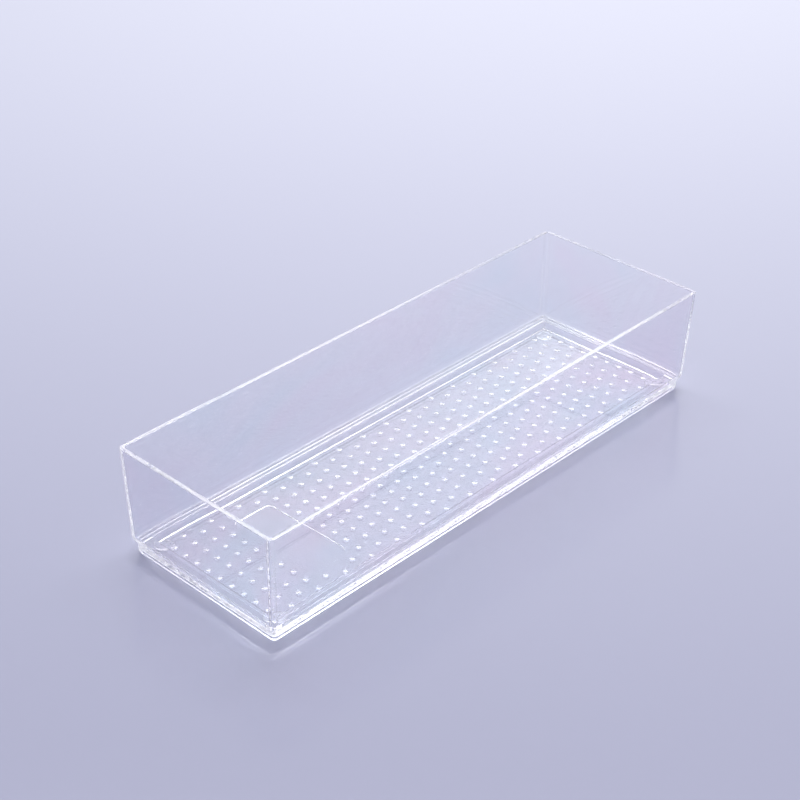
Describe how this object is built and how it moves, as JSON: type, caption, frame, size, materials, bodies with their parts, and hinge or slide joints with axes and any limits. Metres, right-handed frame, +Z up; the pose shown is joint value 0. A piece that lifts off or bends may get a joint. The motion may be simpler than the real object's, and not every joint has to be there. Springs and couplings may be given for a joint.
{
  "type": "drawer organizer insert",
  "caption": "Long rectangular open-top tray in clear plastic with slightly leaning walls, a stepped plinth and a dotted floor, on low silicone pads.",
  "frame": {"origin": "centre of the footprint, on the surface that the pads stand on", "axes": "+X along the long side, with the smooth floor panel towards -X; +Y towards the back long wall; +Z up out of the open top"},
  "size_m": [0.261, 0.087, 0.0503],
  "materials": {
    "clear_plastic": "crystal-clear polished plastic, colourless with a faint blue-lavender cast",
    "clear_silicone": "translucent clear silicone, satin"
  },
  "bodies": {
    "root": {"tray": "clear_plastic", "pad_front_left": "clear_silicone", "pad_front_right": "clear_silicone", "pad_back_left": "clear_silicone", "pad_back_right": "clear_silicone"}
  },
  "joints": []
}
